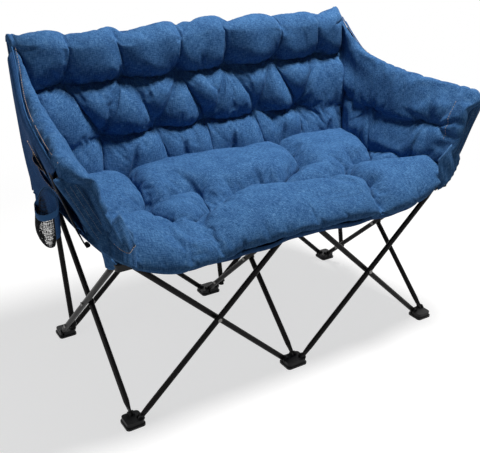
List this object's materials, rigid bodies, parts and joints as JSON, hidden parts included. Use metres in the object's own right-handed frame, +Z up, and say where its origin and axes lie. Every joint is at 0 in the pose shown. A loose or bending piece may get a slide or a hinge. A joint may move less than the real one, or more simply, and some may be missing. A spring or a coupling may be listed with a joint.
{
  "type": "folding camping loveseat",
  "caption": "Padded two-place camping seat with swept arms and net cup holders on a crossed-tube frame that folds sideways and front to back at once.",
  "frame": {"origin": "on the floor, at the middle of the whole seat's box", "axes": "+X across the seat, to the right in the picture; -Y to the front, where the sitter faces; +Z up"},
  "size_m": [1.312, 0.6644, 0.912],
  "materials": {
    "frame_steel": "dark powder coat, slight gloss",
    "rivet_steel": "blackened rivet heads",
    "moulded_plastic": "fine moulded grain",
    "padding_fabric": "heathered blue woven polyester over wadding",
    "panel_fabric": "dark blue coated canvas",
    "net_mesh": "black knitted net"
  },
  "bodies": {
    "rear_left_foot": {"rear_left_foot": "moulded_plastic"},
    "rear_left_hub": {"rear_left_hub": "moulded_plastic", "left_cup_holder_net": "net_mesh", "left_cup_holder_band": "panel_fabric"},
    "rear_middle_foot": {"rear_middle_foot": "moulded_plastic"},
    "rear_middle_hub": {"rear_middle_hub": "moulded_plastic", "seat_cushion": "padding_fabric"},
    "rear_right_foot": {"rear_right_foot": "moulded_plastic"},
    "rear_right_hub": {"rear_right_hub": "moulded_plastic", "right_cup_holder_net": "net_mesh", "right_cup_holder_band": "panel_fabric"},
    "rear_left_leg_1": {"rear_left_leg_1": "frame_steel"},
    "rear_left_leg_2": {"rear_left_leg_2": "frame_steel", "rear_left_crossing_rivet": "rivet_steel"},
    "rear_right_leg_1": {"rear_right_leg_1": "frame_steel", "rear_right_crossing_rivet": "rivet_steel"},
    "rear_right_leg_2": {"rear_right_leg_2": "frame_steel"},
    "front_left_foot": {"front_left_foot": "moulded_plastic"},
    "front_left_hub": {"front_left_hub": "moulded_plastic"},
    "front_middle_foot": {"front_middle_foot": "moulded_plastic"},
    "front_middle_hub": {"front_middle_hub": "moulded_plastic"},
    "front_right_foot": {"front_right_foot": "moulded_plastic"},
    "front_right_hub": {"front_right_hub": "moulded_plastic"},
    "front_left_leg_1": {"front_left_leg_1": "frame_steel"},
    "front_left_leg_2": {"front_left_leg_2": "frame_steel", "front_left_crossing_rivet": "rivet_steel"},
    "front_right_leg_1": {"front_right_leg_1": "frame_steel", "front_right_crossing_rivet": "rivet_steel"},
    "front_right_leg_2": {"front_right_leg_2": "frame_steel"},
    "left_side_leg_1": {"left_side_leg_1": "frame_steel"},
    "left_side_leg_2": {"left_side_leg_2": "frame_steel", "left_side_crossing_rivet": "rivet_steel", "left_post_rivet": "rivet_steel"},
    "left_back_post": {"left_back_post": "frame_steel", "left_back_post_cap": "moulded_plastic", "left_arm_cushion": "padding_fabric", "left_side_panel": "panel_fabric"},
    "middle_side_leg_1": {"middle_side_leg_1": "frame_steel"},
    "middle_side_leg_2": {"middle_side_leg_2": "frame_steel", "middle_side_crossing_rivet": "rivet_steel", "middle_post_rivet": "rivet_steel"},
    "middle_back_post": {"middle_back_post": "frame_steel", "middle_back_post_cap": "moulded_plastic", "back_cushion": "padding_fabric", "rear_cover": "panel_fabric"},
    "right_side_leg_1": {"right_side_leg_1": "frame_steel"},
    "right_side_leg_2": {"right_side_leg_2": "frame_steel", "right_side_crossing_rivet": "rivet_steel", "right_post_rivet": "rivet_steel"},
    "right_back_post": {"right_back_post": "frame_steel", "right_back_post_cap": "moulded_plastic", "right_arm_cushion": "padding_fabric", "right_side_panel": "panel_fabric"},
    "left_arm_post": {"left_arm_post": "frame_steel", "left_arm_post_cap": "moulded_plastic", "left_arm_sleeve": "panel_fabric"},
    "right_arm_post": {"right_arm_post": "frame_steel", "right_arm_post_cap": "moulded_plastic", "right_arm_sleeve": "panel_fabric"}
  },
  "joints": [
    {"name": "fold", "type": "hinge", "parent": "rear_middle_foot", "child": "middle_side_leg_2", "pos_m": [-0.0088, 0.2166, 0.018], "axis": [-1, 0, 0], "range_deg": [0, 36], "deforming": ["seat_cushion", "back_cushion", "rear_cover", "left_arm_cushion", "right_arm_cushion", "left_side_panel", "right_side_panel"]},
    {"name": "middle_side_crossing", "type": "hinge", "parent": "middle_side_leg_2", "child": "middle_side_leg_1", "pos_m": [0, -0.0184, 0.2385], "axis": [1, 0, 0], "range_deg": [0, 72.01]},
    {"name": "front_middle_foot_pivot", "type": "hinge", "parent": "middle_side_leg_1", "child": "front_middle_foot", "pos_m": [0.0088, -0.2534, 0.018], "axis": [-1, 0, 0], "range_deg": [0, 36.01]},
    {"name": "rear_middle_hub_pivot", "type": "hinge", "parent": "middle_side_leg_1", "child": "rear_middle_hub", "pos_m": [0.0088, 0.2166, 0.459], "axis": [-1, 0, 0], "range_deg": [0, 36.01]},
    {"name": "front_middle_hub_pivot", "type": "hinge", "parent": "middle_side_leg_2", "child": "front_middle_hub", "pos_m": [-0.0088, -0.2534, 0.459], "axis": [1, 0, 0], "range_deg": [0, 36.01]},
    {"name": "rear_left_foot_pivot", "type": "hinge", "parent": "rear_middle_foot", "child": "rear_left_leg_2", "pos_m": [-0.025, 0.2404, 0.018], "axis": [0, 1, 0], "range_deg": [0, 36.01]},
    {"name": "rear_left_crossing", "type": "hinge", "parent": "rear_left_leg_2", "child": "rear_left_leg_1", "pos_m": [-0.26, 0.2316, 0.2385], "axis": [0, -1, 0], "range_deg": [0, 72.01]},
    {"name": "rear_left_hub_pivot", "type": "hinge", "parent": "rear_left_leg_2", "child": "rear_left_hub", "pos_m": [-0.495, 0.2404, 0.459], "axis": [0, -1, 0], "range_deg": [0, 36.01]},
    {"name": "rear_left_outer_foot_pivot", "type": "hinge", "parent": "rear_left_leg_1", "child": "rear_left_foot", "pos_m": [-0.495, 0.2228, 0.018], "axis": [0, 1, 0], "range_deg": [0, 36.01]},
    {"name": "front_left_foot_pivot", "type": "hinge", "parent": "front_middle_foot", "child": "front_left_leg_2", "pos_m": [-0.025, -0.2596, 0.018], "axis": [0, 1, 0], "range_deg": [0, 36.01]},
    {"name": "front_left_crossing", "type": "hinge", "parent": "front_left_leg_2", "child": "front_left_leg_1", "pos_m": [-0.26, -0.2684, 0.2385], "axis": [0, -1, 0], "range_deg": [0, 72.01]},
    {"name": "front_left_hub_pivot", "type": "hinge", "parent": "front_left_leg_2", "child": "front_left_hub", "pos_m": [-0.495, -0.2596, 0.459], "axis": [0, -1, 0], "range_deg": [0, 36.01]},
    {"name": "front_left_outer_foot_pivot", "type": "hinge", "parent": "front_left_leg_1", "child": "front_left_foot", "pos_m": [-0.495, -0.2772, 0.018], "axis": [0, 1, 0], "range_deg": [0, 36.01]},
    {"name": "left_side_foot_pivot", "type": "hinge", "parent": "rear_left_foot", "child": "left_side_leg_2", "pos_m": [-0.5288, 0.2166, 0.018], "axis": [-1, 0, 0], "range_deg": [0, 36.01]},
    {"name": "left_side_crossing", "type": "hinge", "parent": "left_side_leg_2", "child": "left_side_leg_1", "pos_m": [-0.52, -0.0184, 0.2385], "axis": [1, 0, 0], "range_deg": [0, 72.01]},
    {"name": "rear_right_foot_pivot", "type": "hinge", "parent": "rear_middle_foot", "child": "rear_right_leg_1", "pos_m": [0.025, 0.2228, 0.018], "axis": [0, -1, 0], "range_deg": [0, 36.01]},
    {"name": "rear_right_crossing", "type": "hinge", "parent": "rear_right_leg_1", "child": "rear_right_leg_2", "pos_m": [0.26, 0.2316, 0.2385], "axis": [0, 1, 0], "range_deg": [0, 72.01]},
    {"name": "rear_right_hub_pivot", "type": "hinge", "parent": "rear_right_leg_1", "child": "rear_right_hub", "pos_m": [0.495, 0.2228, 0.459], "axis": [0, 1, 0], "range_deg": [0, 36.01]},
    {"name": "rear_right_outer_foot_pivot", "type": "hinge", "parent": "rear_right_leg_2", "child": "rear_right_foot", "pos_m": [0.495, 0.2404, 0.018], "axis": [0, -1, 0], "range_deg": [0, 36.01]},
    {"name": "front_right_foot_pivot", "type": "hinge", "parent": "front_middle_foot", "child": "front_right_leg_1", "pos_m": [0.025, -0.2772, 0.018], "axis": [0, -1, 0], "range_deg": [0, 36.01]},
    {"name": "front_right_crossing", "type": "hinge", "parent": "front_right_leg_1", "child": "front_right_leg_2", "pos_m": [0.26, -0.2684, 0.2385], "axis": [0, 1, 0], "range_deg": [0, 72.01]},
    {"name": "front_right_hub_pivot", "type": "hinge", "parent": "front_right_leg_1", "child": "front_right_hub", "pos_m": [0.495, -0.2772, 0.459], "axis": [0, 1, 0], "range_deg": [0, 36.01]},
    {"name": "front_right_outer_foot_pivot", "type": "hinge", "parent": "front_right_leg_2", "child": "front_right_foot", "pos_m": [0.495, -0.2596, 0.018], "axis": [0, -1, 0], "range_deg": [0, 36.01]},
    {"name": "right_side_foot_pivot", "type": "hinge", "parent": "rear_right_foot", "child": "right_side_leg_2", "pos_m": [0.5112, 0.2166, 0.018], "axis": [-1, 0, 0], "range_deg": [0, 36.01]},
    {"name": "right_side_crossing", "type": "hinge", "parent": "right_side_leg_2", "child": "right_side_leg_1", "pos_m": [0.52, -0.0184, 0.2385], "axis": [1, 0, 0], "range_deg": [0, 72.01]},
    {"name": "left_back_post_pivot", "type": "hinge", "parent": "left_side_leg_2", "child": "left_back_post", "pos_m": [-0.5118, 0.15763, 0.07334], "axis": [1, 0, 0], "range_deg": [0, 43.83]},
    {"name": "middle_back_post_pivot", "type": "hinge", "parent": "middle_side_leg_2", "child": "middle_back_post", "pos_m": [0.0082, 0.15763, 0.07334], "axis": [1, 0, 0], "range_deg": [0, 43.83]},
    {"name": "right_back_post_pivot", "type": "hinge", "parent": "right_side_leg_2", "child": "right_back_post", "pos_m": [0.5282, 0.15763, 0.07334], "axis": [1, 0, 0], "range_deg": [0, 43.83]},
    {"name": "left_arm_swing", "type": "hinge", "parent": "front_left_hub", "child": "left_arm_post", "pos_m": [-0.529, -0.2684, 0.489], "axis": [0, 1, 0], "range_deg": [0, 27.5], "deforming": ["left_arm_cushion", "left_side_panel"]},
    {"name": "right_arm_swing", "type": "hinge", "parent": "front_right_hub", "child": "right_arm_post", "pos_m": [0.529, -0.2684, 0.489], "axis": [0, -1, 0], "range_deg": [0, 27.5], "deforming": ["right_arm_cushion", "right_side_panel"]}
  ],
  "couplings": [
    {"joint": "middle_side_crossing", "follows": "fold", "ratio": 2},
    {"joint": "front_middle_foot_pivot", "follows": "fold", "ratio": 1},
    {"joint": "rear_middle_hub_pivot", "follows": "fold", "ratio": 1},
    {"joint": "front_middle_hub_pivot", "follows": "fold", "ratio": 1},
    {"joint": "rear_left_foot_pivot", "follows": "fold", "ratio": 1},
    {"joint": "rear_left_crossing", "follows": "fold", "ratio": 2},
    {"joint": "rear_left_hub_pivot", "follows": "fold", "ratio": 1},
    {"joint": "rear_left_outer_foot_pivot", "follows": "fold", "ratio": 1},
    {"joint": "front_left_foot_pivot", "follows": "fold", "ratio": 1},
    {"joint": "front_left_crossing", "follows": "fold", "ratio": 2},
    {"joint": "front_left_hub_pivot", "follows": "fold", "ratio": 1},
    {"joint": "front_left_outer_foot_pivot", "follows": "fold", "ratio": 1},
    {"joint": "left_side_foot_pivot", "follows": "fold", "ratio": 1},
    {"joint": "left_side_crossing", "follows": "fold", "ratio": 2},
    {"joint": "rear_right_foot_pivot", "follows": "fold", "ratio": 1},
    {"joint": "rear_right_crossing", "follows": "fold", "ratio": 2},
    {"joint": "rear_right_hub_pivot", "follows": "fold", "ratio": 1},
    {"joint": "rear_right_outer_foot_pivot", "follows": "fold", "ratio": 1},
    {"joint": "front_right_foot_pivot", "follows": "fold", "ratio": 1},
    {"joint": "front_right_crossing", "follows": "fold", "ratio": 2},
    {"joint": "front_right_hub_pivot", "follows": "fold", "ratio": 1},
    {"joint": "front_right_outer_foot_pivot", "follows": "fold", "ratio": 1},
    {"joint": "right_side_foot_pivot", "follows": "fold", "ratio": 1},
    {"joint": "right_side_crossing", "follows": "fold", "ratio": 2},
    {"joint": "left_back_post_pivot", "follows": "fold", "ratio": 1.2171},
    {"joint": "middle_back_post_pivot", "follows": "fold", "ratio": 1.2171},
    {"joint": "right_back_post_pivot", "follows": "fold", "ratio": 1.2171}
  ]
}
